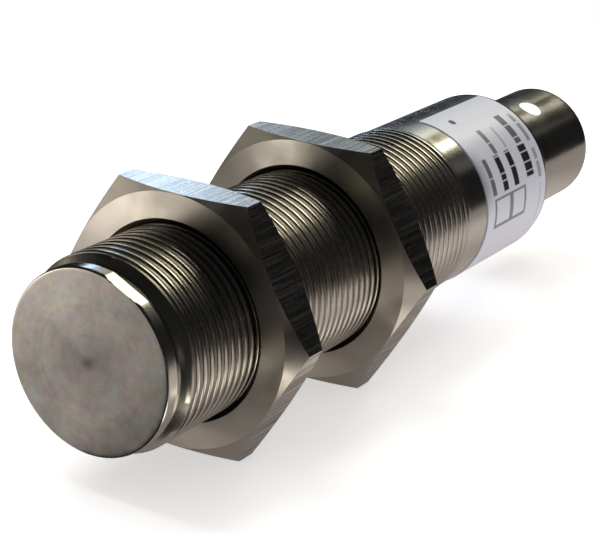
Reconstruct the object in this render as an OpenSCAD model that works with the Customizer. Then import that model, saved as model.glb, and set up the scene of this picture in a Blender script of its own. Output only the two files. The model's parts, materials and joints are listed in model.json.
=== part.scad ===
// Inductive proximity sensor, M18 x 1, all-steel housing with an M12-size plug end.
// The origin is the middle of the sensing face. +Y runs along the barrel from the
// face to the plug end, and +Z is square to the top flats of the two lock nuts.

/* [Barrel] */
// Outside diameter of the thread
thread_d = 18; // [17.6:0.1:18.4]
// Diameter of the plain rear stretch under the label
plain_d = 17.8; // [17.6:0.1:17.8]
// Length of the barrel from the sensing face to its rear end
barrel_len = 68.3; // [68:0.1:72]
// Distance from the sensing face to the end of the thread
thread_end = 50.6; // [48:0.1:52]
// Diameter of the smooth collar round the sensing face
collar_d = 16.9; // [16.6:0.1:17.2]
// Length of the collar
collar_len = 1.3; // [1.1:0.1:1.5]
// Length of the undercut groove between the collar and the thread
groove_len = 0.7; // [0.5:0.1:0.9]
// Diameter at the bottom of the undercut groove
groove_d = 16.2; // [16:0.1:16.4]
// Diameter of the bore that holds the electronics
bore_d = 15; // [14.9:0.05:15]
// Thickness of the closed steel sensing face
face_t = 1; // [0.8:0.1:1]
// Direction of the small flat milled on the collar, round from +X towards +Z
flat_angle = 62; // [0:1:180]
// Depth of the small flat below the collar
flat_depth = 0.4; // [0.2:0.05:0.5]

/* [Lock nuts] */
// Width across the flats of a nut
nut_af = 24; // [23:0.5:27]
// Thickness of a nut
nut_t = 4; // [3.5:0.1:4.5]
// Depth of the corner chamfer, measured along the axis
nut_chamfer = 1; // [0.6:0.1:1.2]
// Distance from the sensing face to the front nut
front_nut_y = 11.8; // [11:0.1:13]
// Distance from the sensing face to the rear nut
rear_nut_y = 31.9; // [30:0.1:34]
// Clearance between a nut's bore and the thread, on the radius
nut_gap = 0.05; // [0.03:0.01:0.08]

/* [Label] */
// Distance from the sensing face to the label's front edge
label_y = 54.3; // [53:0.1:55]
// Width of the label along the barrel
label_len = 13.2; // [12:0.1:13.4]
// Thickness of the label film
label_t = 0.1; // [0.08:0.01:0.1]
// Direction of the label's first end, round from +X towards +Z
label_start = 90; // [0:1:180]
// How far the label reaches round the barrel, in degrees
label_wrap = 320; // [180:1:340]

/* [Plug end] */
// Outside diameter of the plug sleeve
sleeve_d = 13; // [12.8:0.1:13.4]
// Inside diameter of the plug sleeve
sleeve_bore_d = 11.4; // [11.3:0.1:11.5]
// Length of the sleeve behind the barrel
sleeve_len = 15.2; // [15:0.1:16]
// Length of the sleeve's flange inside the barrel
flange_len = 3; // [2.9:0.1:3.1]
// Diameter of a contact pin
pin_d = 1; // [0.9:0.05:1]
// Diameter of the circle that the four contact pins stand on
pin_circle_d = 5; // [4.8:0.1:5.2]
// Inside diameter of the plug cavity
cavity_d = 8.6; // [8.4:0.1:8.8]
// Depth of the plug cavity
cavity_depth = 5.7; // [5.2:0.1:6]
// Diameter of an indicator window
window_d = 2.6; // [2.2:0.1:2.6]
// Distance from the barrel's end to the middle of a window
window_y = 7.9; // [7.5:0.1:8]
// Direction of the first window, round from +X towards +Z
window_angle = 70; // [0:1:180]

/* [Coil and board] */
// Diameter of the ferrite pot core
core_d = 14; // [13.8:0.1:14]
// Length of the ferrite pot core
core_len = 5; // [4.8:0.1:5.2]
// Width of the circuit board
board_w = 12.4; // [11:0.1:12.8]
// Thickness of the circuit board
board_t = 0.8; // [0.6:0.1:0.8]
// Length of the circuit board
board_len = 48; // [46:1:49]

/* [Hidden] */
$fn = 96;
eps = 0.01;
edge = 0.25;
pad_t = 0.3;
holder_wall = 0.4;
holder_back = 1.7;
core_y = face_t + pad_t;
core_end = core_y + core_len;
core_wall = 1.1;
core_back = 1.5;
post_r = 2.6;
post_hole_r = 1;
coil_gap = 0.1;
bobbin_flange = 0.4;
bobbin_wall = 0.5;
bobbin_r = core_d / 2 - core_wall - coil_gap;
bobbin_in_r = post_r + coil_gap;
bobbin_len = core_len - core_back - 2 * coil_gap;
lead_x = 4.2;
coil_lead_r = 0.2;
lead_hole_r = 0.45;
board_y = core_end + holder_back + 0.7;
board_end = board_y + board_len;
coil_lead_z = board_t / 2 + coil_lead_r;
wire_r = 0.35;
bend_extra = 0.03;
wire_z = board_t / 2 + wire_r + bend_extra;
pin_r = pin_d / 2;
pin_xz = pin_circle_d / 2 * cos(45);
barrel_r = thread_d / 2;
sleeve_end = barrel_len + sleeve_len;
flange_y = barrel_len - flange_len;
seal_r = 0.4;
seal_y = barrel_len - flange_len / 2;
seal_floor_r = bore_d / 2 - 2 * seal_r;
carrier_y = barrel_len + 2;
cavity_y = sleeve_end - cavity_depth;
carrier_lip = 0.4;
pocket_r = 1.2;
pocket_floor = 4.2;
window_c = barrel_len + window_y;
potting_y = barrel_len - flange_len - 2;
key_w = 1.4;
key_h = 0.6;
mouth = 0.45;
sleeve_round = 0.5;
bobbin_clear = 0.2;
chip_y = board_y + 14;
chip_body = [4, 6, 1.4];
chip_leg = [0.9, 0.4, 0.65];
chip_leg_pitch = 1.27;
chip_lift = 0.15;
transistor_y = board_y + 30;
transistor_body = [3.5, 4, 1.6];
transistor_leg = [0.6, 1.2, 0.4];
transistor_leg_pitch = 1.1;
transistor_lift = 0.1;
capacitor_x = 4;
capacitor_size = [1.6, 3.2, 1.2];
capacitor_cap = 0.5;
resistor_x = 4.4;
resistor_size = [1.25, 2, 0.5];
resistor_cap = 0.4;
led_size = [0.7, 1.6, 0.8];

// Turns a profile of [radius, distance along +Y] points round the barrel's axis.
module turned(points) {
    rotate([-90, 0, 0]) rotate_extrude() polygon(points);
}

// A rod of radius r along the barrel's axis between two distances from the face.
module rod_y(r, y0, y1) {
    translate([0, y0, 0]) rotate([-90, 0, 0]) cylinder(r = r, h = y1 - y0);
}

// A tube along the barrel's axis.
module tube_y(r_out, r_in, y0, y1) {
    difference() {
        rod_y(r_out, y0, y1);
        rod_y(r_in, y0 - eps, y1 + eps);
    }
}

// A round rod between two points that have the same x.
module rod_between(a, b, r) {
    dy = b[1] - a[1];
    dz = b[2] - a[2];
    translate(a) rotate([atan2(dz, dy) - 90, 0, 0]) cylinder(r = r, h = norm([dy, dz]));
}

// A box of the given size whose bottom middle is at the given point.
module seated_box(size, at) {
    translate([at[0] - size[0] / 2, at[1] - size[1] / 2, at[2]]) cube(size);
}

module barrel_outside() {
    groove_y = collar_len + groove_len;
    groove_r = groove_d / 2;
    plain_r = plain_d / 2;
    collar_r = collar_d / 2;
    turned([
        [0, 0],
        [collar_r - edge, 0],
        [collar_r, edge],
        [collar_r, collar_len],
        [groove_r, collar_len],
        [groove_r, groove_y],
        [barrel_r - edge, groove_y],
        [barrel_r, groove_y + edge],
        [barrel_r, thread_end - edge],
        [plain_r, thread_end],
        [plain_r, barrel_len - edge],
        [plain_r - edge, barrel_len],
        [0, barrel_len],
    ]);
}

// Steel cup: closed sensing face, collar with its flat, undercut, thread, plain rear.
module barrel() {
    color("silver") difference() {
        barrel_outside();
        rod_y(bore_d / 2, face_t, barrel_len + eps);
        rotate([0, -flat_angle, 0])
            translate([collar_d / 2 - flat_depth, -eps, -collar_d / 2])
                cube([flat_depth + 1, collar_len + eps, collar_d]);
    }
}

module nut(y) {
    corner_r = nut_af / 2 / cos(30);
    face_r = nut_af / 2 - 0.05;
    bore_r = barrel_r + nut_gap;
    color("lightgray") translate([0, y, 0]) difference() {
        intersection() {
            rotate([-90, 0, 0]) cylinder(r = corner_r, h = nut_t, $fn = 6);
            turned([
                [0, 0],
                [face_r, 0],
                [corner_r, nut_chamfer],
                [corner_r, nut_t - nut_chamfer],
                [face_r, nut_t],
                [0, nut_t],
            ]);
        }
        rod_y(bore_r, -1, nut_t + 1);
        turned([[0, -mouth], [bore_r + 2 * mouth, -mouth], [0, bore_r + mouth]]);
        turned([
            [0, nut_t + mouth],
            [bore_r + 2 * mouth, nut_t + mouth],
            [0, nut_t - bore_r - mouth],
        ]);
    }
}

// Film that runs round from its first end, away from +Z, and stops short of a full turn.
module label() {
    color("white") translate([0, label_y, 0]) rotate([0, -label_start, 0]) rotate([-90, 0, 0])
        rotate_extrude(angle = label_wrap) translate([plain_d / 2, 0]) square([label_t, label_len]);
}

module window_hole(angle, r, inner, outer) {
    rotate([0, -angle, 0]) translate([inner, window_c, 0]) rotate([0, 90, 0])
        cylinder(r = r, h = outer - inner);
}

// Smooth sleeve with a flange that fits the barrel's bore and a seal groove in it.
module connector_sleeve() {
    sleeve_r = sleeve_d / 2;
    flange_r = bore_d / 2;
    bore_r = sleeve_bore_d / 2;
    color("silver") difference() {
        turned([
            [bore_r, flange_y],
            [flange_r, flange_y],
            [flange_r, seal_y - seal_r],
            [seal_floor_r, seal_y - seal_r],
            [seal_floor_r, seal_y + seal_r],
            [flange_r, seal_y + seal_r],
            [flange_r, barrel_len],
            [sleeve_r, barrel_len],
            for (a = [0 : 15 : 90]) [
                sleeve_r - sleeve_round + sleeve_round * cos(a),
                sleeve_end - sleeve_round + sleeve_round * sin(a)
            ],
            [bore_r, sleeve_end],
        ]);
        window_hole(window_angle, window_d / 2, bore_r - 1, sleeve_r + 1);
        window_hole(window_angle + 180, window_d / 2, bore_r - 1, sleeve_r + 1);
    }
}

module sleeve_seal() {
    centre_r = bore_d / 2 - seal_r;
    color("black") translate([0, seal_y, 0]) rotate([-90, 0, 0])
        rotate_extrude() translate([centre_r, 0]) circle(r = seal_r - eps);
}

module at_pins() {
    for (sx = [-1, 1], sz = [-1, 1]) translate([sx * pin_xz, 0, sz * pin_xz]) children();
}

// Plastic insert that carries the pins, with a keyed cavity and two lamp pockets.
module contact_carrier() {
    r = sleeve_bore_d / 2;
    color("dimgray") difference() {
        union() {
            difference() {
                rod_y(r, carrier_y, sleeve_end - carrier_lip);
                rod_y(cavity_d / 2, cavity_y, sleeve_end + eps);
            }
            translate([-key_w / 2, cavity_y - eps, cavity_d / 2 - key_h])
                cube([key_w, cavity_depth - carrier_lip, key_h + 0.2]);
        }
        at_pins() rod_y(pin_r, carrier_y - eps, sleeve_end);
        window_hole(window_angle, pocket_r, pocket_floor, r + 1);
        window_hole(window_angle + 180, pocket_r, pocket_floor, r + 1);
    }
}

// Contact pin with a rounded tip.
module contact_pin(sx, sz) {
    tip_y = sleeve_end - 1;
    color("gold") translate([sx * pin_xz, 0, sz * pin_xz]) turned([
        [0, carrier_y],
        [pin_r, carrier_y],
        [pin_r, tip_y - pin_r],
        for (a = [15 : 15 : 75]) [pin_r * cos(a), tip_y - pin_r + pin_r * sin(a)],
        [0, tip_y],
    ]);
}

module led_window(angle) {
    color("whitesmoke") intersection() {
        window_hole(angle, window_d / 2, 0, sleeve_d);
        tube_y(sleeve_d / 2, sleeve_bore_d / 2, barrel_len, sleeve_end);
    }
}

module led(angle) {
    color("gold") rotate([0, -angle, 0])
        translate([pocket_floor, window_c - led_size[1] / 2, -led_size[2] / 2]) cube(led_size);
}

module insulating_pad() {
    color("ivory") rod_y(bore_d / 2 - eps, face_t, face_t + pad_t);
}

// Pot core that opens towards the sensing face.
module ferrite_core() {
    r = core_d / 2;
    floor_y = core_end - core_back;
    color("dimgray") difference() {
        turned([
            [post_hole_r, core_y],
            [post_r, core_y],
            [post_r, floor_y],
            [r - core_wall, floor_y],
            [r - core_wall, core_y],
            [r, core_y],
            [r, core_end],
            [post_hole_r, core_end],
        ]);
        for (s = [-1, 1]) translate([s * lead_x, 0, coil_lead_z])
            rod_y(lead_hole_r, floor_y - eps, core_end + eps);
    }
}

module coil_bobbin() {
    y0 = core_y + coil_gap;
    y1 = y0 + bobbin_len;
    tube_r = bobbin_in_r + bobbin_wall;
    color("beige") turned([
        [bobbin_in_r, y0],
        [bobbin_r, y0],
        [bobbin_r, y0 + bobbin_flange],
        [tube_r, y0 + bobbin_flange],
        [tube_r, y1 - bobbin_flange],
        [bobbin_r, y1 - bobbin_flange],
        [bobbin_r, y1],
        [bobbin_in_r, y1],
    ]);
}

module coil_winding() {
    y0 = core_y + coil_gap + bobbin_flange;
    y1 = core_y + coil_gap + bobbin_len - bobbin_flange;
    color("peru") tube_y(bobbin_r - bobbin_clear, bobbin_in_r + bobbin_wall, y0, y1);
}

// Plastic cup behind and round the core.
module coil_holder() {
    r = core_d / 2 + eps;
    color("darkslategray") difference() {
        rod_y(r + holder_wall, core_y, core_end + holder_back);
        rod_y(r, core_y - eps, core_end);
        for (s = [-1, 1]) translate([s * lead_x, 0, coil_lead_z])
            rod_y(lead_hole_r, core_end - eps, core_end + holder_back + eps);
    }
}

module coil_lead(s) {
    y0 = core_y + coil_gap + bobbin_len;
    color("peru") translate([s * lead_x, 0, coil_lead_z]) rod_y(coil_lead_r, y0, board_y + 1.5);
}

module circuit_board() {
    color("darkgreen") translate([-board_w / 2, board_y, -board_t / 2])
        cube([board_w, board_len, board_t]);
}

// Moulded chip with a row of legs along each side.
module control_chip() {
    top = board_t / 2;
    leg_x = (chip_body[0] + chip_leg[0]) / 2 - 0.1;
    color("black") seated_box(chip_body, [0, chip_y, top + chip_lift]);
    color("silver") for (sx = [-1, 1], i = [-1.5 : 1 : 1.5])
        seated_box(chip_leg, [sx * leg_x, chip_y + i * chip_leg_pitch, top]);
}

// Moulded transistor with three legs at its front.
module output_transistor() {
    top = board_t / 2;
    leg_y = transistor_y - (transistor_body[1] + transistor_leg[1]) / 2 + 0.2;
    color("black") seated_box(transistor_body, [0, transistor_y, top + transistor_lift]);
    color("silver") for (i = [-1 : 1])
        seated_box(transistor_leg, [i * transistor_leg_pitch, leg_y, top]);
}

// Small block with a metal cap at each end.
module chip_part(at, size, cap) {
    color("tan") seated_box([size[0], size[1] - 2 * cap, size[2]], at);
    color("silver") for (s = [-1, 1])
        seated_box([size[0], cap, size[2]], [at[0], at[1] + s * (size[1] - cap) / 2, at[2]]);
}

module capacitor(along) {
    chip_part([capacitor_x, board_y + along, board_t / 2], capacitor_size, capacitor_cap);
}

module resistor(side, along) {
    chip_part([side * resistor_x, board_y + along, board_t / 2], resistor_size, resistor_cap);
}

module connector_lead(sx, sz) {
    x = sx * pin_xz;
    bend_a = [x, potting_y - 0.6, sz * pin_xz];
    bend_b = [x, board_end - 1.6, sz * wire_z];
    color("saddlebrown") {
        translate([x, 0, sz * pin_xz]) rod_y(wire_r, bend_a[1], carrier_y);
        translate(bend_a) sphere(r = wire_r + bend_extra);
        rod_between(bend_b, bend_a, wire_r);
        translate(bend_b) sphere(r = wire_r + bend_extra);
        translate([x, 0, sz * wire_z]) rod_y(wire_r, board_end - 5, bend_b[1]);
    }
}

// Cast resin plug inside the sleeve, round the four leads.
module potting() {
    y0 = flange_y;
    y1 = carrier_y - 0.2;
    color("gray") difference() {
        rod_y(sleeve_bore_d / 2, y0, y1);
        at_pins() rod_y(wire_r, y0 - eps, y1 + eps);
    }
}

barrel();
nut(front_nut_y);  // front_nut
nut(rear_nut_y);  // rear_nut
label();
connector_sleeve();
sleeve_seal();
contact_carrier();
contact_pin(1, 1);  // contact_pin_1
contact_pin(1, -1);  // contact_pin_2
contact_pin(-1, -1);  // contact_pin_3
contact_pin(-1, 1);  // contact_pin_4
led_window(window_angle);  // led_window_1
led_window(window_angle + 180);  // led_window_2
led(window_angle);  // led_1
led(window_angle + 180);  // led_2
insulating_pad();
ferrite_core();
coil_bobbin();
coil_winding();
coil_holder();
coil_lead(1);  // coil_lead_1
coil_lead(-1);  // coil_lead_2
circuit_board();
control_chip();
output_transistor();
capacitor(6);  // capacitor_1
capacitor(38);  // capacitor_2
resistor(-1, 14);  // resistor_1
resistor(-1, 22);  // resistor_2
resistor(1, 22);  // resistor_3
connector_lead(1, 1);  // connector_lead_1
connector_lead(1, -1);  // connector_lead_2
connector_lead(-1, -1);  // connector_lead_3
connector_lead(-1, 1);  // connector_lead_4
potting();
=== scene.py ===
"""Inductive proximity sensor: a threaded steel barrel, two lock nuts, a label and a plug end.

Sizes are in metres. The frame's origin is the middle of the sensing face, +Y runs
along the barrel to the plug end, and +Z is square to the top flats of the nuts.
"""

import json
from math import acos, cos, pi, radians, sin

import bmesh
import bpy
import numpy as np
from mathutils import Matrix, Quaternion, Vector


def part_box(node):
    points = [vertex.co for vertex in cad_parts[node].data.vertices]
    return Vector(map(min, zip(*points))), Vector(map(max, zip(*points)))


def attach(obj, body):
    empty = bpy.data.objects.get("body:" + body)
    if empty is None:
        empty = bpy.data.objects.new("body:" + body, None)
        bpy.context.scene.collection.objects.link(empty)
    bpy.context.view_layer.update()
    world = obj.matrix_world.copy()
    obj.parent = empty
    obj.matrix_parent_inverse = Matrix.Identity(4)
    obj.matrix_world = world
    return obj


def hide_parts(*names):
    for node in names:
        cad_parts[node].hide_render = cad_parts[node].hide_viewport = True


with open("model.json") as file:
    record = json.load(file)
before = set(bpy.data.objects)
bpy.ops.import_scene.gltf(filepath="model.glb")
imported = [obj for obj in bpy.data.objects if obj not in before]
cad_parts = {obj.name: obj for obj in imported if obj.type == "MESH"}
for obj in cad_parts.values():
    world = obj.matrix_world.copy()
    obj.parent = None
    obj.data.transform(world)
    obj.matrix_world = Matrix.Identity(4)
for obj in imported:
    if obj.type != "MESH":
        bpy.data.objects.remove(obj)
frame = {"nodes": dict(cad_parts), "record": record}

bl_info = {
    "name": "Proximity sensor",
    "version": (1, 0, 0),
    "blender": (4, 5, 0),
    "location": "View3D > Sidebar > Sensor",
    "description": "Builds the visible pieces of a threaded steel proximity sensor",
    "category": "Add Mesh",
}

MM = 0.001
BARREL_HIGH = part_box("barrel")[1]
FRONT_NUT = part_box("front_nut")
REAR_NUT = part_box("rear_nut")
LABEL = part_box("label")
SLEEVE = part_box("connector_sleeve")
PLUG_END = SLEEVE[1].y
TINY = 0.001 * MM  # a length too small to see
BARREL_END = BARREL_HIGH.y
FLOOR_Z = FRONT_NUT[0].z


def length(name, description, default):
    """A length property, in metres."""
    return bpy.props.FloatProperty(
        name=name, description=description, default=default, unit="LENGTH", precision=5
    )


def turn(name, description, default_deg):
    """An angle property, given in degrees and held in radians."""
    return bpy.props.FloatProperty(
        name=name, description=description, default=radians(default_deg), unit="ROTATION"
    )


def hex_colour(name, description, default):
    """A colour property that holds an sRGB hex value such as #a0a0a0."""
    return bpy.props.StringProperty(name=name, description=description, default=default)


class SensorSizes(bpy.types.PropertyGroup):
    """Sizes that shape the visible pieces."""

    thread_r: length("Thread radius", "Crest radius of the thread", BARREL_HIGH.x)
    pitch: length("Thread pitch", "Distance between neighbouring crests", 1.0 * MM)
    thread_depth: length("Thread depth", "Crest to root, on the radius", 0.45 * MM)
    thread_start: length("Thread start", "From the face to the thread", 2.0 * MM)
    thread_end: length("Thread end", "From the face to the end of the thread", 50.6 * MM)
    plain_r: length("Plain radius", "Radius of the smooth rear stretch", 8.9 * MM)
    collar_r: length("Collar radius", "Radius of the collar round the face", 8.45 * MM)
    collar_len: length("Collar length", "Length of the collar", 1.3 * MM)
    groove_r: length("Groove radius", "Radius at the undercut groove", 8.2 * MM)
    flat_depth: length("Flat depth", "How deep the collar's flat is cut", 0.24 * MM)
    flat_angle: turn("Flat angle", "Direction of the collar's flat, from +X towards +Z", 65)
    bore_r: length("Bore radius", "Radius of the barrel's bore", 7.5 * MM)
    face_t: length("Face thickness", "Thickness of the closed face", 1.0 * MM)
    nut_chamfer: length("Nut chamfer", "Depth of the nuts' corner chamfer", 1.0 * MM)
    nut_mouth: length("Nut countersink", "Depth of the nuts' countersink", 0.45 * MM)
    nut_gap: length("Nut clearance", "Radial gap between nut and crest", 0.05 * MM)
    sleeve_r: length("Sleeve radius", "Outside radius of the plug sleeve", 6.5 * MM)
    sleeve_bore_r: length("Sleeve bore", "Inside radius of the plug sleeve", 5.7 * MM)
    window_r: length("Window radius", "Radius of an indicator window", 1.3 * MM)
    window_place: length("Window place", "From the barrel's rear to a window", 7.9 * MM)
    window_angle: turn("Window angle", "Direction of the first window, from +X towards +Z", 70)
    label_end: turn("Label end", "Where the label film stops, from +X towards +Z", 90)
    label_wrap: turn("Label wrap", "How far round the barrel the film goes", 320)


class SensorColours(bpy.types.PropertyGroup):
    """Colours of the finishes, as sRGB hex."""

    steel: hex_colour("Stainless steel", "Bare stainless steel", "#cdc8bf")
    face_steel: hex_colour("Face steel", "Ground stainless sensing face", "#98948f")
    # Cut steel of the nuts' threaded holes, darkened as painted shade where the bore lies in shadow
    painted_shade_mouth_steel: hex_colour("Mouth steel with painted shade", "Steel of the nuts' threaded holes, darkened as painted shade", "#4a4643")
    label: hex_colour("Label film", "Unprinted label film", "#dcdde8")
    ink_and_shade: hex_colour("Label ink", "Printed marks on the label", "#26242c")
    window: hex_colour("Window", "Milky indicator window", "#fbfbf8")
    floor: hex_colour("Floor", "Pale studio floor", "#f7f4f2")


def linear(hex_value):
    """An sRGB hex colour as linear RGBA."""
    parts = [int(hex_value[i : i + 2], 16) / 255 for i in (1, 3, 5)]
    return [c / 12.92 if c <= 0.04045 else ((c + 0.055) / 1.055) ** 2.4 for c in parts] + [1.0]


def darker(colour, share):
    """A linear colour brought down to a share of itself."""
    return [channel * share for channel in colour[:3]] + [1]


def sizes():
    """The size properties of the scene."""
    return bpy.context.scene.sensor_sizes


def colours():
    """The colour properties of the scene."""
    return bpy.context.scene.sensor_colours


# ---------------------------------------------------------------- meshes


def revolve(rows, angle):
    """Grid of points for rows of (radius, y), turned round +Y.

    Column angle A runs from +X towards +Z: x = r cos A, z = r sin A.
    """
    rows = np.asarray(rows, float)
    grid = np.empty((len(rows), len(angle), 3))
    grid[..., 0] = rows[:, :1] * np.cos(angle)
    grid[..., 1] = rows[:, 1:]
    grid[..., 2] = rows[:, :1] * np.sin(angle)
    return grid


def make_piece(name, grid, materials, row_material=None, sharp=35, attribute=None):
    """A mesh from a grid of points, with its seam and poles merged.

    Neighbouring rows and columns are joined by quads whose normal is the row
    direction crossed with the column direction.
    """
    rows, columns = grid.shape[:2]
    start = np.arange(rows - 1)[:, None] * columns + np.arange(columns - 1)[None, :]
    faces = np.stack([start, start + columns, start + columns + 1, start + 1], -1)
    mesh = bpy.data.meshes.new(name)
    mesh.from_pydata(grid.reshape(-1, 3), [], faces.reshape(-1, 4))
    for material in materials:
        mesh.materials.append(material)
    if row_material is not None:
        index = np.repeat(np.asarray(row_material, np.int32), columns - 1)
        mesh.polygons.foreach_set("material_index", index)
    if attribute is not None:
        layer = mesh.attributes.new(attribute[0], "FLOAT", "POINT")
        layer.data.foreach_set("value", attribute[1].ravel())
    tidy = bmesh.new()
    tidy.from_mesh(mesh)
    bmesh.ops.remove_doubles(tidy, verts=tidy.verts, dist=2 * TINY)
    bmesh.ops.holes_fill(tidy, edges=tidy.edges, sides=0)
    tidy.to_mesh(mesh)
    tidy.free()
    mesh.shade_smooth()
    mesh.set_sharp_from_angle(angle=radians(sharp))
    piece = bpy.data.objects.new(name, mesh)
    bpy.context.scene.collection.objects.link(piece)
    return piece


def arc(centre, radius, start, end, count=5):
    """Points of (radius, y) on a round corner about a centre, between two angles."""
    angle = np.radians(np.linspace(start, end, count))
    return [(centre[0] + radius * cos(a), centre[1] + radius * sin(a)) for a in angle]


def thread_profile(turns, root, crest):
    """Radius along the thread for a position counted in turns.

    A triangle wave with one crest a turn is scaled and clipped, so its tips are
    flat, and smoothed, so crest and root run into the flanks in a curve.
    """
    valley, flank = 0.06, 0.42
    wave = 1 - 2 * np.abs(np.mod(turns, 1) - 0.5)
    lift = np.clip((wave - valley) / flank, 0, 1)
    return root + (crest - root) * lift * lift * (3 - 2 * lift)


# Places of the thread's rows within one turn, closer where the profile bends
THREAD_ROWS = np.array([0, 0.04, 0.08, 0.125, 0.17, 0.2, 0.24, 0.5, 0.76, 0.8, 0.83, 0.875, 0.92, 0.96])


def thread_grid(angle, start, end, start_r, end_r, root, crest, run_in, run_out):
    """Grid of a right-hand thread between two places on the barrel.

    Rows follow the helix: y is the row's place less the pitch times the column's
    share of a turn, held between start and end. The radius is the profile's, kept
    under a cone that rises from start_r, and blended into end_r over the run-out.
    """
    pitch = sizes().pitch
    turns = np.arange(int((end - start) / pitch) + 2)[:, None] + THREAD_ROWS[None, :]
    turns = turns.ravel()
    y = start + (turns[:, None] - angle[None, :] / (2 * pi)) * pitch
    y = np.clip(y, start, end)
    r = np.broadcast_to(thread_profile(turns, root, crest)[:, None], y.shape)
    r = np.minimum(r, start_r + (y - start) / run_in * (crest - start_r))
    fade = np.clip((y - end + run_out) / run_out, 0, 1)
    r = r * (1 - fade) + end_r * fade
    grid = np.empty(y.shape + (3,))
    grid[..., 0] = r * np.cos(angle)
    grid[..., 1] = y
    grid[..., 2] = r * np.sin(angle)
    return grid


def barrel_mesh():
    """Closed cup: face, collar with its flat, groove, helical thread, plain rear, bore.

    The flat is a plane: each collar point past it is moved back along its normal.
    Columns are finer round the flat, so that its ends are straight.
    """
    s = sizes()
    edge, lip = 0.18 * MM, 0.04 * MM
    half_flat = acos(1 - s.flat_depth / s.collar_r)
    fine = s.flat_angle + half_flat * np.linspace(-1.2, 1.2, 37)
    coarse = np.linspace(fine[-1], fine[0] + 2 * pi, 90)[1:]
    angle = np.concatenate([fine, coarse])
    front = [(r * MM, 0) for r in (0, 0.4, 1, 2, 3, 4, 5, 6, 7, 7.6, 8.0)]
    face_rows = len(front)
    front += arc((s.collar_r - edge, edge), edge, -90, 0, 4)
    front += [(s.collar_r, y) for y in np.linspace(edge, s.collar_len - lip, 8)[1:-1]]
    front += arc((s.collar_r - lip, s.collar_len - lip), lip, 0, 90, 3)
    front += arc((s.groove_r + lip, s.collar_len + lip), lip, 270, 180, 3)
    front += [(s.groove_r, s.thread_start - 0.05 * MM)]
    rear = [(s.plain_r, s.thread_end + 0.3 * MM)]
    rear += [(s.plain_r, LABEL[0].y), (s.plain_r, LABEL[1].y)]
    rear += arc((s.plain_r - 2 * edge, BARREL_END - 2 * edge), 2 * edge, 0, 90, 5)
    rear += [(s.bore_r, BARREL_END), (s.bore_r, BARREL_END - 3 * MM)]
    rear += [(s.bore_r, s.face_t), (0, s.face_t)]
    thread = thread_grid(
        angle, s.thread_start, s.thread_end, s.groove_r, s.plain_r,
        s.thread_r - s.thread_depth, s.thread_r, run_in=0.55 * MM, run_out=1.2 * MM,
    )
    first, last = revolve(front, angle), revolve(rear, angle)
    normal = np.array([cos(s.flat_angle), 0, sin(s.flat_angle)])
    over = np.maximum(first @ normal - (s.collar_r - s.flat_depth), 0)
    over[first[..., 1] > s.collar_len + TINY] = 0
    first -= over[..., None] * normal
    grid = np.concatenate([first, thread, last])
    material = np.full(len(grid) - 1, 1)
    material[:face_rows] = 0
    material[len(first) + len(thread) - 1 :] = 2
    return grid, material


def nut_mesh(low, high):
    """Hexagon nut: for each column the outside radius is the hexagon's.

    The chamfer is a cone that starts on a circle just inside the flats, so its
    depth at a column grows with how far the hexagon stands outside that circle.
    Its bore has a helical groove that only cuts outwards from the clearance radius.
    """
    s = sizes()
    columns, steps = 144, 8
    face_ring, inset, lead, groove = 0.8 * MM, 0.05 * MM, 0.3 * MM, 0.32 * MM
    flats = high.z
    angle = np.linspace(0, 2 * pi, columns + 1)
    hexagon = flats / np.cos(np.mod(angle, pi / 3) - pi / 6)
    corner = flats / cos(pi / 6)
    circle = flats - inset
    depth = np.clip((hexagon - circle) / (corner - circle), 0, 1) * s.nut_chamfer
    bore = s.thread_r + s.nut_gap
    mouth = bore + s.nut_mouth
    ones = np.ones_like(angle)
    rings = [
        (mouth - 10 * TINY, low.y + 10 * TINY),
        (mouth, low.y),
        (circle - face_ring, low.y),
        (circle, low.y),
    ]
    rows = [(r * ones, y * ones) for r, y in rings]
    for share in (0.0, 0.25, 0.5, 0.75, 1.0):
        y = (low.y + depth) * (1 - share) + (high.y - depth) * share
        rows.append((hexagon, y))
    rows += [(r * ones, high.y * ones) for r, _ in reversed(rings)]
    start, end = high.y - s.nut_mouth, low.y + s.nut_mouth
    turns = np.arange(0, (start - end) / s.pitch + 1 + TINY, 1 / steps)
    for t in turns:
        y = np.clip(start + (angle / (2 * pi) - t) * s.pitch, end, start)
        near_end = np.clip(np.minimum(start - y, y - end) / lead, 0, 1)
        r = bore + thread_profile(t, 0, groove) * near_end
        rows.append((r, y))
    rows.append(rows[0])
    grid = np.empty((len(rows), columns + 1, 3))
    for i, (r, y) in enumerate(rows):
        grid[i, :, 0] = r * np.cos(angle)
        grid[i, :, 1] = y
        grid[i, :, 2] = r * np.sin(angle)
    faces, flat_rows, mouth_rows = 0, 1, 2
    material = np.full(len(rows) - 1, mouth_rows)
    material[1:12] = faces
    material[4:8] = flat_rows
    return grid, material


def sleeve_mesh():
    """Smooth sleeve with a rounded mouth and a flange inside the barrel."""
    s = sizes()
    flange, flange_r = SLEEVE[0].y, s.bore_r - 0.02 * MM
    foot, foot_y = 0.3 * MM, BARREL_END - 0.06 * MM
    lip, bore_lip = 0.5 * MM, 0.1 * MM
    rows = [(s.sleeve_bore_r, flange), (flange_r, flange), (flange_r, foot_y)]
    rows += [(s.sleeve_r + foot, foot_y)]
    rows += arc((s.sleeve_r + foot, foot_y + foot), foot, 270, 180, 4)
    rows += [(s.sleeve_r, y) for y in np.linspace(BARREL_END + 2 * lip, PLUG_END - 2 * lip, 5)]
    rows += arc((s.sleeve_r - lip, PLUG_END - lip), lip, 0, 90, 7)
    rows += arc((s.sleeve_bore_r + bore_lip, PLUG_END - bore_lip), bore_lip, 90, 180, 3)
    rows += [rows[0]]
    return revolve(rows, np.linspace(0, 2 * pi, 129))


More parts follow.
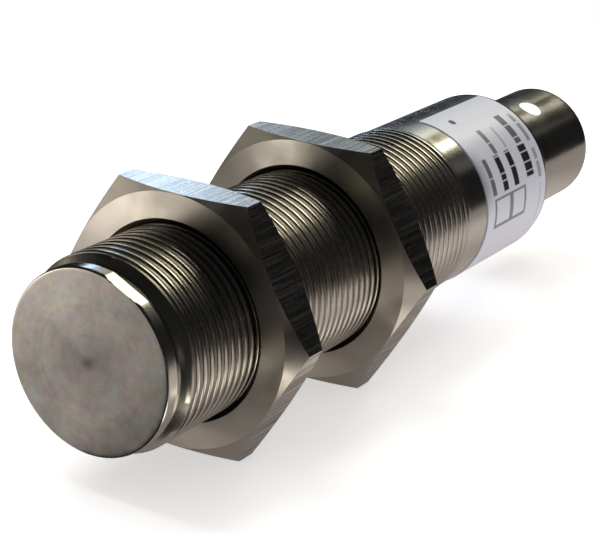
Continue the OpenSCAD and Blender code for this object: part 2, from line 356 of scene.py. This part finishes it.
def window_mesh(angle):
    """Round window plug: rings about its own axis, bent to the sleeve's cylinder.

    A ring point at offset (u, v) from the middle lies at angle u over the radius
    round the sleeve and v along it, and the cap stands proud by a thin dome.
    """
    s = sizes()
    columns = 48
    around = np.linspace(0, 2 * pi, columns + 1)
    middle_y = BARREL_END + s.window_place
    rim, dome = s.sleeve_r + 0.02 * MM, 0.1 * MM
    base = s.sleeve_bore_r
    rings = [(0, base), (s.window_r, base), (s.window_r, rim)]
    shares = np.linspace(0.97, 0, 8)
    rings += [(s.window_r * c, rim + dome * (1 - c * c)) for c in shares]
    grid = np.empty((len(rings), columns + 1, 3))
    for i, (ring, r) in enumerate(rings):
        u, v = ring * np.cos(around), ring * np.sin(around)
        column = angle + u / s.sleeve_r
        grid[i, :, 0] = r * np.cos(column)
        grid[i, :, 1] = middle_y + v
        grid[i, :, 2] = r * np.sin(column)
    return grid


# Blocks of plain dashes printed on the label: distance of the middle from the front
# edge and height, both in mm, the two directions they run between in degrees, and
# how dark they are
PRINTED_BLOCKS = (
    (1.8, 0.9, 14, 40, 0.8),
    (4.3, 1.1, 14, 39, 1.0),
    (4.8, 0.8, 40, 60, 0.75),
    (6.7, 1.1, 14, 39, 1.0),
    (7.2, 0.5, 41, 58, 0.4),
    (9.9, 1.6, 16, 38, 1.0),
    (10.0, 1.1, 40, 65, 0.85),
    (12.0, 0.6, 12, 33, 0.5),
    (12.1, 0.7, 38, 62, 0.6),
    (11.9, 0.3, -20, 8, 0.3),
)


def ink_and_shade_marks(y_mm, angle_deg):
    """Ink on the label, from 0 to 1: blocks of plain dashes, a box diagram and a dot, and painted shade.

    y_mm is the distance from the film's front edge, and angle_deg the direction
    round the barrel. Dashes have seeded random lengths, like words on a form. A
    painted shade near the front edge stands for the dark reflection of the steel under clear film.
    """
    ink_and_shade = np.zeros_like(y_mm)
    dice = np.random.default_rng(7)
    for middle, height, low, high, dark in PRINTED_BLOCKS:
        place = low
        while place < high:
            end = min(place + dice.uniform(4, 14) / height, high)
            inside = (angle_deg > place) & (angle_deg < end)
            inside &= np.abs(y_mm - middle) < height / 2
            ink_and_shade[inside] = dark
            place = end + dice.uniform(0.5, 1.3)
    box = (angle_deg > -9) & (angle_deg < 11.5) & (np.abs(y_mm - 5.1) < 3.5)
    core = (angle_deg > -7) & (angle_deg < 9.8) & (np.abs(y_mm - 5.1) < 3.15)
    bar = (np.abs(y_mm - 5.3) < 0.4) & box
    ink_and_shade[(box & ~core) | bar] = 0.7
    # Painted shade: the dark reflection of the steel under the clear film, laid into the ink
    painted_steel_shade = 0.5 * np.clip(1 - y_mm / 2, 0, 1) * np.clip(1.4 - np.abs(angle_deg - 28) / 18, 0, 1)
    ink_and_shade = np.maximum(ink_and_shade, painted_steel_shade)
    dot = ((angle_deg - 75) * 0.157) ** 2 + (y_mm - 3.0) ** 2 < 0.45**2
    ink_and_shade[dot] = 1
    return ink_and_shade


def label_mesh():
    """Film round the plain stretch, on a fine grid that carries the ink and painted shade attribute.

    The grid runs over the outside and back along the inside, and its two open
    ends, where the film stops, are closed when the piece is made.
    """
    s = sizes()
    low, high = LABEL
    outer, inner = high.x, s.plain_r
    angle = np.linspace(s.label_end - s.label_wrap, s.label_end, 400)
    y = np.linspace(low.y, high.y, 100)
    rows = [(inner, low.y)] + [(outer, v) for v in y] + [(inner, high.y), (inner, low.y)]
    grid = revolve(rows, angle)
    y_mm = (grid[..., 1] - low.y) / MM
    ink_and_shade = ink_and_shade_marks(y_mm, np.broadcast_to(np.degrees(angle)[None, :], grid.shape[:2]))
    ink_and_shade[[0, -2, -1]] = 0
    return grid, ink_and_shade


# ---------------------------------------------------------------- materials


def add(tree, kind, inputs=(), **settings):
    """Adds a node, sets its properties, and fills or links its inputs by name or number."""
    node = tree.nodes.new(kind)
    for key, value in settings.items():
        setattr(node, key, value)
    for key, value in dict(inputs).items():
        if isinstance(value, bpy.types.NodeSocket):
            tree.links.new(value, node.inputs[key])
        else:
            node.inputs[key].default_value = value
    return node


def new_material(name, **values):
    """A material with a Principled shader whose constant inputs are given by name."""
    material = bpy.data.materials.new(name)
    material.use_nodes = True
    tree = material.node_tree
    tree.nodes.clear()
    shader = add(tree, "ShaderNodeBsdfPrincipled", {k.replace("_", " "): v for k, v in values.items()})
    add(tree, "ShaderNodeOutputMaterial", {"Surface": shader.outputs[0]})
    return material, tree, shader


def object_mm(tree):
    """Object coordinates in millimetres."""
    place = add(tree, "ShaderNodeTexCoord").outputs["Object"]
    return add(tree, "ShaderNodeVectorMath", {0: place, "Scale": 1 / MM}, operation="SCALE").outputs[0]


def axis_distance(tree, place):
    """Distance from the barrel's axis, which is the length of the place without its Y."""
    radial = add(tree, "ShaderNodeVectorMath", {0: place, 1: (1, 0, 1)}, operation="MULTIPLY").outputs[0]
    return add(tree, "ShaderNodeVectorMath", {0: radial}, operation="LENGTH").outputs["Value"]


def ring_tangent(tree, place):
    """The direction round the barrel's axis, which the turning marks follow."""
    across = add(tree, "ShaderNodeVectorMath", {0: place, 1: (0, 1, 0)}, operation="CROSS_PRODUCT")
    world = add(
        tree, "ShaderNodeVectorTransform", {0: across.outputs[0]},
        vector_type="VECTOR", convert_from="OBJECT", convert_to="WORLD",
    )
    return add(tree, "ShaderNodeVectorMath", {0: world.outputs[0]}, operation="NORMALIZE").outputs[0]


def turned_steel(name, colour, roughness, anisotropy, grain, depth, cloud=0.12):
    """Stainless steel off the lathe: fine rings round the axis stretch its highlights.

    The rings are drawn grain millimetres apart, coarser than the real feed marks,
    so that they show, and a slow cloudiness varies how polished it is.
    """
    material, tree, shader = new_material(
        name, Metallic=1.0, Roughness=roughness, Anisotropic=anisotropy, Anisotropic_Rotation=0.25
    )
    place = object_mm(tree)
    apart = add(tree, "ShaderNodeSeparateXYZ", {0: place})
    radius = axis_distance(tree, place)
    ring = add(
        tree, "ShaderNodeCombineXYZ", {"X": radius, "Y": apart.outputs["Y"], "Z": 0.0}
    ).outputs[0]
    marks = add(
        tree, "ShaderNodeTexNoise",
        {"Vector": ring, "Scale": 1 / grain, "Detail": 1.0, "Roughness": 0.6},
    ).outputs["Fac"]
    clouds = add(
        tree, "ShaderNodeTexNoise", {"Vector": place, "Scale": 0.35, "Detail": 4.0}
    ).outputs["Fac"]
    rough = add(
        tree, "ShaderNodeMapRange",
        {"Value": clouds, "From Min": 0.3, "From Max": 0.7,
         "To Min": roughness * (1 - cloud), "To Max": roughness * (1 + cloud)},
    ).outputs[0]
    tint = add(
        tree, "ShaderNodeMix", {"Factor": clouds, "A": darker(colour, 0.86), "B": colour},
        data_type="RGBA",
    )
    bump = add(
        tree, "ShaderNodeBump", {"Height": marks, "Strength": 1.0, "Distance": depth * MM}
    ).outputs[0]
    tree.links.new(tint.outputs[2], shader.inputs["Base Color"])
    tree.links.new(rough, shader.inputs["Roughness"])
    tree.links.new(bump, shader.inputs["Normal"])
    tree.links.new(ring_tangent(tree, place), shader.inputs["Tangent"])
    return material


def milled_steel(name, colour, roughness):
    """Milled flat: cutter marks run along the barrel, a fifth of a millimetre apart.

    The marks are stretched noise. They darken the steel in streaks, and lift and
    roughen it a little, so its highlights break up across them.
    """
    material, tree, shader = new_material(name, Metallic=1.0, Roughness=roughness)
    place = object_mm(tree)
    stretched = add(tree, "ShaderNodeMapping", {"Vector": place, "Scale": (5.0, 0.1, 5.0)}).outputs[0]
    marks = add(
        tree, "ShaderNodeTexNoise",
        {"Vector": stretched, "Scale": 1.0, "Detail": 4.0, "Roughness": 0.7},
    ).outputs["Fac"]
    streak = add(
        tree, "ShaderNodeMapRange", {"Value": marks, "From Min": 0.4, "From Max": 0.6}
    ).outputs[0]
    shade = add(
        tree, "ShaderNodeMix", {"Factor": streak, "A": darker(colour, 0.35), "B": colour},
        data_type="RGBA",
    )
    bump = add(
        tree, "ShaderNodeBump", {"Height": marks, "Strength": 1.0, "Distance": 0.01 * MM}
    ).outputs[0]
    rough = add(
        tree, "ShaderNodeMapRange",
        {"Value": marks, "From Min": 0.3, "From Max": 0.7,
         "To Min": roughness * 0.8, "To Max": roughness * 1.25},
    ).outputs[0]
    tree.links.new(shade.outputs[2], shader.inputs["Base Color"])
    tree.links.new(bump, shader.inputs["Normal"])
    tree.links.new(rough, shader.inputs["Roughness"])
    return material


def ground_face():
    """Ground and blasted sensing face: matt and cloudy, with faint rings and a centre mark.

    Two noises give the clouds and their warm and cool tints, and a third one of the
    radius alone gives the rings. The middle is darker with painted shade, round a small centre mark.
    """
    steel = linear(colours().face_steel)
    material, tree, shader = new_material(
        "ground stainless face", Metallic=1.0, Roughness=0.45, Anisotropic=0.3,
        Anisotropic_Rotation=0.25,
    )
    place = object_mm(tree)
    radius = axis_distance(tree, place)
    clouds = add(
        tree, "ShaderNodeTexNoise",
        {"Vector": place, "Scale": 0.3, "Detail": 6.0, "Roughness": 0.66},
    ).outputs["Fac"]
    tints = add(
        tree, "ShaderNodeTexNoise", {"Vector": place, "Scale": 0.8, "Detail": 3.0}
    ).outputs["Color"]
    rings = add(
        tree, "ShaderNodeTexNoise", {"W": radius, "Scale": 1.4, "Detail": 3.0}, noise_dimensions="1D"
    ).outputs["Fac"]
    cloudy = add(
        tree, "ShaderNodeMath", {0: rings, 1: 0.16, 2: clouds}, operation="MULTIPLY_ADD"
    ).outputs[0]
    level = add(
        tree, "ShaderNodeMapRange",
        {"Value": cloudy, "From Min": 0.38, "From Max": 0.78, "To Min": 0.78, "To Max": 1.5},
    ).outputs[0]
    spot = add(
        tree, "ShaderNodeMapRange",
        {"Value": radius, "From Min": 0.15, "From Max": 0.8, "To Min": 0.55, "To Max": 1.0},
    ).outputs[0]
    # Painted shade: the face grows darker towards its middle
    painted_middle_shade = add(
        tree, "ShaderNodeMapRange",
        {"Value": radius, "From Min": 0.3, "From Max": 4.5, "To Min": 0.7, "To Max": 1.08},
    ).outputs[0]
    # The centre mark times the painted shade of the middle
    mark_and_middle_shade = add(tree, "ShaderNodeMath", {0: spot, 1: painted_middle_shade}, operation="MULTIPLY").outputs[0]
    level = add(tree, "ShaderNodeMath", {0: level, 1: mark_and_middle_shade}, operation="MULTIPLY").outputs[0]
    tinted = add(
        tree, "ShaderNodeMix", {"Factor": 0.14, "A": steel, "B": tints}, data_type="RGBA"
    ).outputs[2]
    shade = add(tree, "ShaderNodeVectorMath", {0: tinted, "Scale": level}, operation="SCALE").outputs[0]
    rough = add(
        tree, "ShaderNodeMapRange",
        {"Value": clouds, "From Min": 0.3, "From Max": 0.7, "To Min": 0.36, "To Max": 0.54},
    ).outputs[0]
    grit = add(
        tree, "ShaderNodeTexNoise", {"Vector": place, "Scale": 6.0, "Detail": 2.0}
    ).outputs["Fac"]
    bump = add(
        tree, "ShaderNodeBump", {"Height": grit, "Strength": 1.0, "Distance": 0.006 * MM}
    ).outputs[0]
    tree.links.new(shade, shader.inputs["Base Color"])
    tree.links.new(rough, shader.inputs["Roughness"])
    tree.links.new(bump, shader.inputs["Normal"])
    tree.links.new(ring_tangent(tree, place), shader.inputs["Tangent"])
    return material


def label_film():
    """Printed polyester film: white under a thin clear gloss, with dark ink marks and a painted shade
    near the front edge.
    """
    material, tree, shader = new_material(
        "printed polyester film", Metallic=0.15, Roughness=0.4, Coat_Weight=0.2, Coat_Roughness=0.2
    )
    ink_and_shade = add(tree, "ShaderNodeAttribute", attribute_name="ink_and_shade").outputs["Fac"]
    place = object_mm(tree)
    specks = add(
        tree, "ShaderNodeTexNoise", {"Vector": place, "Scale": 3.0, "Detail": 4.0}
    ).outputs["Fac"]
    paper = linear(colours().label)
    ground = add(
        tree, "ShaderNodeMix", {"Factor": specks, "A": darker(paper, 0.9), "B": paper},
        data_type="RGBA",
    )
    both = add(
        tree, "ShaderNodeMix", {"Factor": ink_and_shade, "A": ground.outputs[2], "B": linear(colours().ink_and_shade)},
        data_type="RGBA",
    )
    tree.links.new(both.outputs[2], shader.inputs["Base Color"])
    return material


def milky_window():
    """Moulded milky polycarbonate, with a painted glow: a little emission lifts it to white."""
    white = linear(colours().window)
    return new_material(
        "milky moulded polycarbonate", Base_Color=white, Roughness=0.25,
        # Painted glow: emission on a window that is no lamp
        Emission_Color=white, Emission_Strength=0.35,
    )[0]


def plain_plastic(name, hex_value, roughness, **more):
    """Moulded plastic, resin or ceramic with a fine moulding grain in its gloss."""
    material, tree, shader = new_material(name, Roughness=roughness, **more)
    place = object_mm(tree)
    grain = add(
        tree, "ShaderNodeTexNoise", {"Vector": place, "Scale": 4.0, "Detail": 3.0}
    ).outputs["Fac"]
    colour = linear(hex_value)
    mix = add(
        tree, "ShaderNodeMix", {"Factor": grain, "A": darker(colour, 0.85), "B": colour},
        data_type="RGBA",
    )
    bump = add(
        tree, "ShaderNodeBump", {"Height": grain, "Strength": 0.4, "Distance": 0.01 * MM}
    ).outputs[0]
    tree.links.new(mix.outputs[2], shader.inputs["Base Color"])
    tree.links.new(bump, shader.inputs["Normal"])
    return material


# Finish of each inner piece: name, sRGB hex, roughness and other shader values
INNER_FINISHES = {
    "seal_rubber": ("moulded nitrile rubber", "#1b1b1c", 0.6, {}),
    "carrier_plastic": ("moulded nylon", "#232325", 0.45, {}),
    "contact_gold": ("gold-plated brass", "#e6bd6a", 0.18, {"Metallic": 1.0}),
    "led_resin": ("cast clear resin", "#e8d27a", 0.2, {}),
    "pad_film": ("cut polyimide film", "#c9a24e", 0.35, {}),
    "ferrite": ("ground sintered ferrite", "#3a3a3d", 0.5, {}),
    "bobbin_plastic": ("moulded acetal", "#e3dccb", 0.4, {}),
    "copper_wire": ("enamelled copper wire", "#b5622f", 0.25, {"Metallic": 1.0}),
    "holder_plastic": ("moulded glass-filled nylon", "#2c3236", 0.5, {}),
    "board_laminate": ("solder-masked laminate", "#14532d", 0.3, {}),
    "chip_resin": ("moulded epoxy", "#1d1d1f", 0.5, {}),
    "chip_ceramic": ("fired ceramic", "#a58c66", 0.4, {}),
    "wire_sleeve": ("extruded wire insulation", "#7a4a24", 0.4, {}),
    "potting_resin": ("cast epoxy resin", "#2a2a2d", 0.25, {}),
}


# Studio lights: name, direction from the part, distance and size in metres, roll in
# degrees, radiance, colour, and whether they show in reflections and on matt surfaces
STUDIO_LIGHTS = (
    ("wide softbox", (0.013, 0.728, 0.686), 0.6, (0.3, 0.14), 0, 4.4, (1.0, 0.96, 0.76), True, True),
    ("narrow softbox", (0.05, 0.815, 0.578), 0.6, (0.094, 0.06), 0, 6.0, (1.0, 0.97, 0.84), True, True),
    ("overhead fill", (-0.5, 0.05, 0.85), 0.7, (0.4, 0.4), 0, 4.6, (1, 1, 1), False, True),
    ("olive wall", (-0.37, 0.77, 0.52), 0.75, (0.3, 0.19), 0, 0.7, (1.0, 0.95, 0.7), True, True),
    ("blue window", (-0.45, 0.81, 0.40), 0.62, (0.36, 0.05), -37, 1.4, (0.66, 0.82, 1.0), True, True),
    ("blue window end", (-0.617, 0.722, 0.318), 0.62, (0.08, 0.09), 0, 5.0, (0.56, 0.74, 1.0),
     True, True),
    ("right wall", (0.36, 0.796, 0.48), 0.62, (0.12, 0.16), 0, 0.15, (1.0, 0.96, 0.92), True, True),
    ("left wall", (-0.8, -0.58, 0.08), 0.5, (0.36, 0.22), 0, 0.55, (1.0, 0.93, 0.8), True, True),
    ("low front card", (-0.576, -0.817, -0.0115), 0.087, (0.034, 0.02), 0, 2.7, (1.0, 0.93, 0.8),
     True, False),
)

# Cards that only reflections see: name, two opposite corners in mm, colour, emission
REFLECTION_CARDS = (
    ("black velvet floor flag", (-4, -80, -11.9), (80, 0, -11.9), (0.0, 0.0, 0.0), 0.0),
    ("black velvet side flag", (-50, 16.5, -11.9), (-16.5, 16.5, 14), (0.0, 0.0, 0.0), 0.0),
    ("cream bounce card", (13.5, -6, -11.8), (21, 3, -11.8), (1.0, 0.94, 0.82), 3.0),
    ("cream rear card", (13.5, 17, -11.8), (21, 28, -11.8), (1.0, 0.94, 0.82), 2.0),
)


# ---------------------------------------------------------------- operators


def finish_piece(piece, body, slot, *nodes):
    """Rides a piece on its body and hides the CAD nodes it stands for. Its slot is not used."""
    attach(piece, body)
    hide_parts(*nodes)


class SENSOR_OT_stage(bpy.types.Operator):
    """Make the pale floor, the studio lights and the camera"""

    bl_idname = "sensor.stage"
    bl_label = "Stage"

    def execute(self, context):
        scene = context.scene
        scene.view_settings.view_transform = "Standard"
        half, ahead = 0.16, 0.03
        floor_mesh = bpy.data.meshes.new("floor")
        corners = [(-half, -half), (half, -half), (half, half), (-half, half)]
        floor_mesh.from_pydata([(x, y + ahead, FLOOR_Z) for x, y in corners], [], [(0, 1, 2, 3)])
        floor = bpy.data.objects.new("floor", floor_mesh)
        scene.collection.objects.link(floor)
        floor_mesh.materials.append(self.floor_paper())
        for settings in REFLECTION_CARDS:
            self.card(*settings)
        self.world(scene)
        middle = Vector((0, 0.035, 0))
        for settings in STUDIO_LIGHTS:
            self.light(middle, *settings)
        self.camera(scene)
        return {"FINISHED"}

    def card(self, name, low, high, colour, strength):
        """A flat card that only reflections see: a dark flag or a pale bounce card."""
        mesh = bpy.data.meshes.new(name)
        corners = [low, (high[0], low[1], low[2]), high, (low[0], high[1], high[2])]
        mesh.from_pydata([tuple(v * MM for v in corner) for corner in corners], [], [(0, 1, 2, 3)])
        material = new_material(
            name, Base_Color=(0.01, 0.01, 0.01, 1), Roughness=1.0, Specular_IOR_Level=0.0,
            Emission_Color=colour + (1,), Emission_Strength=strength,
        )[0]
        mesh.materials.append(material)
        piece = bpy.data.objects.new(name, mesh)
        piece.visible_camera = False
        piece.visible_diffuse = False
        piece.visible_shadow = False
        bpy.context.scene.collection.objects.link(piece)

    def floor_paper(self):
        """Matt paper that is lit a little from behind, and looks greyer in reflections.

        In reflections it fades out to the right and towards the rear, in metres.
        """
        material, tree, shader = new_material(
            "matt white paper", Base_Color=linear(colours().floor), Roughness=0.9,
            Specular_IOR_Level=0.0, Emission_Color=(1, 1, 1, 1), Emission_Strength=0.5,
        )
        path = add(tree, "ShaderNodeLightPath").outputs["Is Glossy Ray"]
        place = add(tree, "ShaderNodeTexCoord").outputs["Object"]
        apart = add(tree, "ShaderNodeSeparateXYZ", {0: place}).outputs
        right = add(
            tree, "ShaderNodeMapRange",
            {"Value": apart["X"], "From Min": 0.055, "From Max": 0.085, "To Min": 1.0, "To Max": 0.02},
        ).outputs[0]
        rear = add(
            tree, "ShaderNodeMapRange",
            {"Value": apart["Y"], "From Min": 0.084, "From Max": 0.104, "To Min": 1.0, "To Max": 0.55},
        ).outputs[0]
        level = add(tree, "ShaderNodeMath", {0: right, 1: rear}, operation="MULTIPLY").outputs[0]
        tint = add(
            tree, "ShaderNodeVectorMath", {0: (0.6, 0.55, 0.54), "Scale": level}, operation="SCALE"
        ).outputs[0]
        grey = add(
            tree, "ShaderNodeBsdfPrincipled",
            {"Base Color": tint, "Roughness": 1.0, "Specular IOR Level": 0.0,
             "Emission Color": tint, "Emission Strength": 0.2},
        ).outputs[0]
        both = add(tree, "ShaderNodeMixShader", {0: path, 1: shader.outputs[0], 2: grey}).outputs[0]
        out = next(n for n in tree.nodes if n.type == "OUTPUT_MATERIAL")
        tree.links.new(both, out.inputs["Surface"])
        return material

    def world(self, scene):
        """White to the camera, soft grey to matt surfaces and dark to shiny ones."""
        world = bpy.data.worlds.new("studio")
        world.use_nodes = True
        tree = world.node_tree
        tree.nodes.clear()
        path = add(tree, "ShaderNodeLightPath")
        seen = add(tree, "ShaderNodeBackground", {"Color": (1, 1, 1, 1), "Strength": 1.0}).outputs[0]
        soft = add(tree, "ShaderNodeBackground", {"Color": (1, 1, 1, 1), "Strength": 0.45}).outputs[0]
        dark = add(
            tree, "ShaderNodeBackground", {"Color": (0.9, 0.92, 1.0, 1), "Strength": 0.014}
        ).outputs[0]
        shiny, direct = path.outputs["Is Glossy Ray"], path.outputs["Is Camera Ray"]
        lit = add(tree, "ShaderNodeMixShader", {0: shiny, 1: soft, 2: dark}).outputs[0]
        both = add(tree, "ShaderNodeMixShader", {0: direct, 1: lit, 2: seen}).outputs[0]
        add(tree, "ShaderNodeOutputWorld", {"Surface": both})
        scene.world = world

    def light(
        self, middle, name, direction, distance, size, roll, radiance, colour, shines, lights_matt
    ):
        """A soft area light that faces the middle of the part.

        A flat lamp of area S that sends out radiance L everywhere gives off pi S L watts.
        """
        data = bpy.data.lights.new(name, "AREA")
        data.shape = "RECTANGLE"
        data.size, data.size_y = size
        data.energy, data.color = pi * size[0] * size[1] * radiance, colour
        lamp = bpy.data.objects.new(name, data)
        towards = Vector(direction).normalized()
        lamp.location = middle + towards * distance
        facing = towards.to_track_quat("Z", "Y") @ Quaternion((0, 0, 1), radians(roll))
        lamp.rotation_euler = facing.to_euler()
        lamp.visible_glossy = shines
        lamp.visible_diffuse = lights_matt
        lamp.visible_camera = False
        bpy.context.scene.collection.objects.link(lamp)

    def camera(self, scene):
        """The camera at its place, turned by its azimuth, elevation and roll."""
        place = (0.09246, -0.11310, 0.06415)
        azimuth, elevation, roll = radians(32.43), radians(20.66), radians(2.47)
        back = Vector((sin(azimuth) * cos(elevation), -cos(azimuth) * cos(elevation), sin(elevation)))
        right = Vector((0, 0, 1)).cross(back).normalized()
        up = back.cross(right)
        right, up = right * cos(roll) + up * sin(roll), up * cos(roll) - right * sin(roll)
        data = bpy.data.cameras.new("camera")
        data.sensor_width = 36
        data.lens = 113.74
        eye = bpy.data.objects.new("camera", data)
        eye.rotation_euler = Matrix((right, up, back)).transposed().to_euler()
        eye.location = place
        data.clip_start, data.clip_end = 0.005, 10
        scene.collection.objects.link(eye)
        scene.camera = eye


class SENSOR_OT_barrel(bpy.types.Operator):
    """Make the steel barrel with its collar, flat, undercut and helical thread"""

    bl_idname = "sensor.barrel"
    bl_label = "Barrel"

    def execute(self, context):
        steel = linear(colours().steel)
        grid, rows = barrel_mesh()
        face = ground_face()
        thread = turned_steel("rolled stainless thread", steel, 0.25, 0.2, 0.4, 0.004)
        plain = turned_steel("turned stainless barrel", steel, 0.2, 0.4, 0.3, 0.003)
        piece = make_piece("barrel_body", grid, [face, thread, plain], rows, sharp=50)
        finish_piece(piece, "housing", "barrel_steel", "barrel")
        return {"FINISHED"}


class SENSOR_OT_nuts(bpy.types.Operator):
    """Make the two lock nuts"""

    bl_idname = "sensor.nuts"
    bl_label = "Lock nuts"

    def execute(self, context):
        steel = linear(colours().steel)
        faces = turned_steel("turned stainless nut face", steel, 0.38, 0.85, 0.35, 0.006, cloud=0.25)
        flats = milled_steel("milled stainless nut flat", steel, 0.24)
        # The threaded holes are cut steel, darkened as painted shade where the bore lies in shadow
        mouth = turned_steel("cut thread darkened as painted shade", linear(colours().painted_shade_mouth_steel), 0.35, 0.3, 0.4, 0.004)
        for name, (low, high) in (("front_nut", FRONT_NUT), ("rear_nut", REAR_NUT)):
            grid, rows = nut_mesh(low, high)
            piece = make_piece(name + "_body", grid, [faces, flats, mouth], rows, sharp=22)
            bevel = piece.modifiers.new("edges", "BEVEL")
            bevel.width = 0.14 * MM
            bevel.segments = 2
            bevel.limit_method = "ANGLE"
            bevel.angle_limit = radians(24)
            bevel.harden_normals = True
            finish_piece(piece, name + "_body", "nut_steel", name)
        return {"FINISHED"}


class SENSOR_OT_label(bpy.types.Operator):
    """Make the printed film label"""

    bl_idname = "sensor.label"
    bl_label = "Label"

    def execute(self, context):
        grid, ink_and_shade = label_mesh()
        piece = make_piece("label_film", grid, [label_film()], sharp=40, attribute=("ink_and_shade", ink_and_shade))
        finish_piece(piece, "housing", "label_film", "label")
        return {"FINISHED"}


class SENSOR_OT_plug_end(bpy.types.Operator):
    """Make the polished sleeve and the indicator windows"""

    bl_idname = "sensor.plug_end"
    bl_label = "Plug end"

    def execute(self, context):
        steel = linear(colours().steel)
        polished = turned_steel("polished stainless sleeve", steel, 0.2, 0.2, 0.3, 0.002)
        piece = make_piece("plug_sleeve", sleeve_mesh(), [polished], sharp=40)
        finish_piece(piece, "housing", "sleeve_steel", "connector_sleeve")
        window = milky_window()
        for number, angle in ((1, sizes().window_angle), (2, sizes().window_angle + pi)):
            cap = make_piece(f"window_{number}", window_mesh(angle), [window], sharp=40)
            finish_piece(cap, "housing", "window_plastic", f"led_window_{number}")
        return {"FINISHED"}


class SENSOR_OT_inner_finishes(bpy.types.Operator):
    """Give every inner piece the finish of its material slot"""

    bl_idname = "sensor.inner_finishes"
    bl_label = "Inner finishes"

    def execute(self, context):
        made = {
            slot: plain_plastic(name, colour, roughness, **more)
            for slot, (name, colour, roughness, more) in INNER_FINISHES.items()
        }
        slots = {part["node"]: part["material_slot"] for part in frame["record"]["subparts"]}
        for name, node in frame["nodes"].items():
            if slots[name] in made:
                node.data.materials.clear()
                node.data.materials.append(made[slots[name]])
        return {"FINISHED"}


class SENSOR_PT_panel(bpy.types.Panel):
    """Lists the steps that build the sensor."""

    bl_label = "Proximity sensor"
    bl_space_type = "VIEW_3D"
    bl_region_type = "UI"
    bl_category = "Sensor"

    def draw(self, context):
        for step in STEPS:
            self.layout.operator(step.bl_idname)
        for group in (context.scene.sensor_sizes, context.scene.sensor_colours):
            for name in group.__annotations__:
                self.layout.prop(group, name)


STEPS = (
    SENSOR_OT_stage, SENSOR_OT_barrel, SENSOR_OT_nuts, SENSOR_OT_label,
    SENSOR_OT_plug_end, SENSOR_OT_inner_finishes,
)
CLASSES = (SensorSizes, SensorColours) + STEPS + (SENSOR_PT_panel,)


def register():
    for kind in CLASSES:
        bpy.utils.register_class(kind)
    bpy.types.Scene.sensor_sizes = bpy.props.PointerProperty(type=SensorSizes)
    bpy.types.Scene.sensor_colours = bpy.props.PointerProperty(type=SensorColours)


def unregister():
    del bpy.types.Scene.sensor_colours
    del bpy.types.Scene.sensor_sizes
    for kind in reversed(CLASSES):
        bpy.utils.unregister_class(kind)


def main():
    """Builds everything in order."""
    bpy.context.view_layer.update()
    register()
    bpy.ops.sensor.stage()
    bpy.ops.sensor.barrel()
    bpy.ops.sensor.nuts()
    bpy.ops.sensor.label()
    bpy.ops.sensor.plug_end()
    bpy.ops.sensor.inner_finishes()


if __name__ == "__main__":
    main()
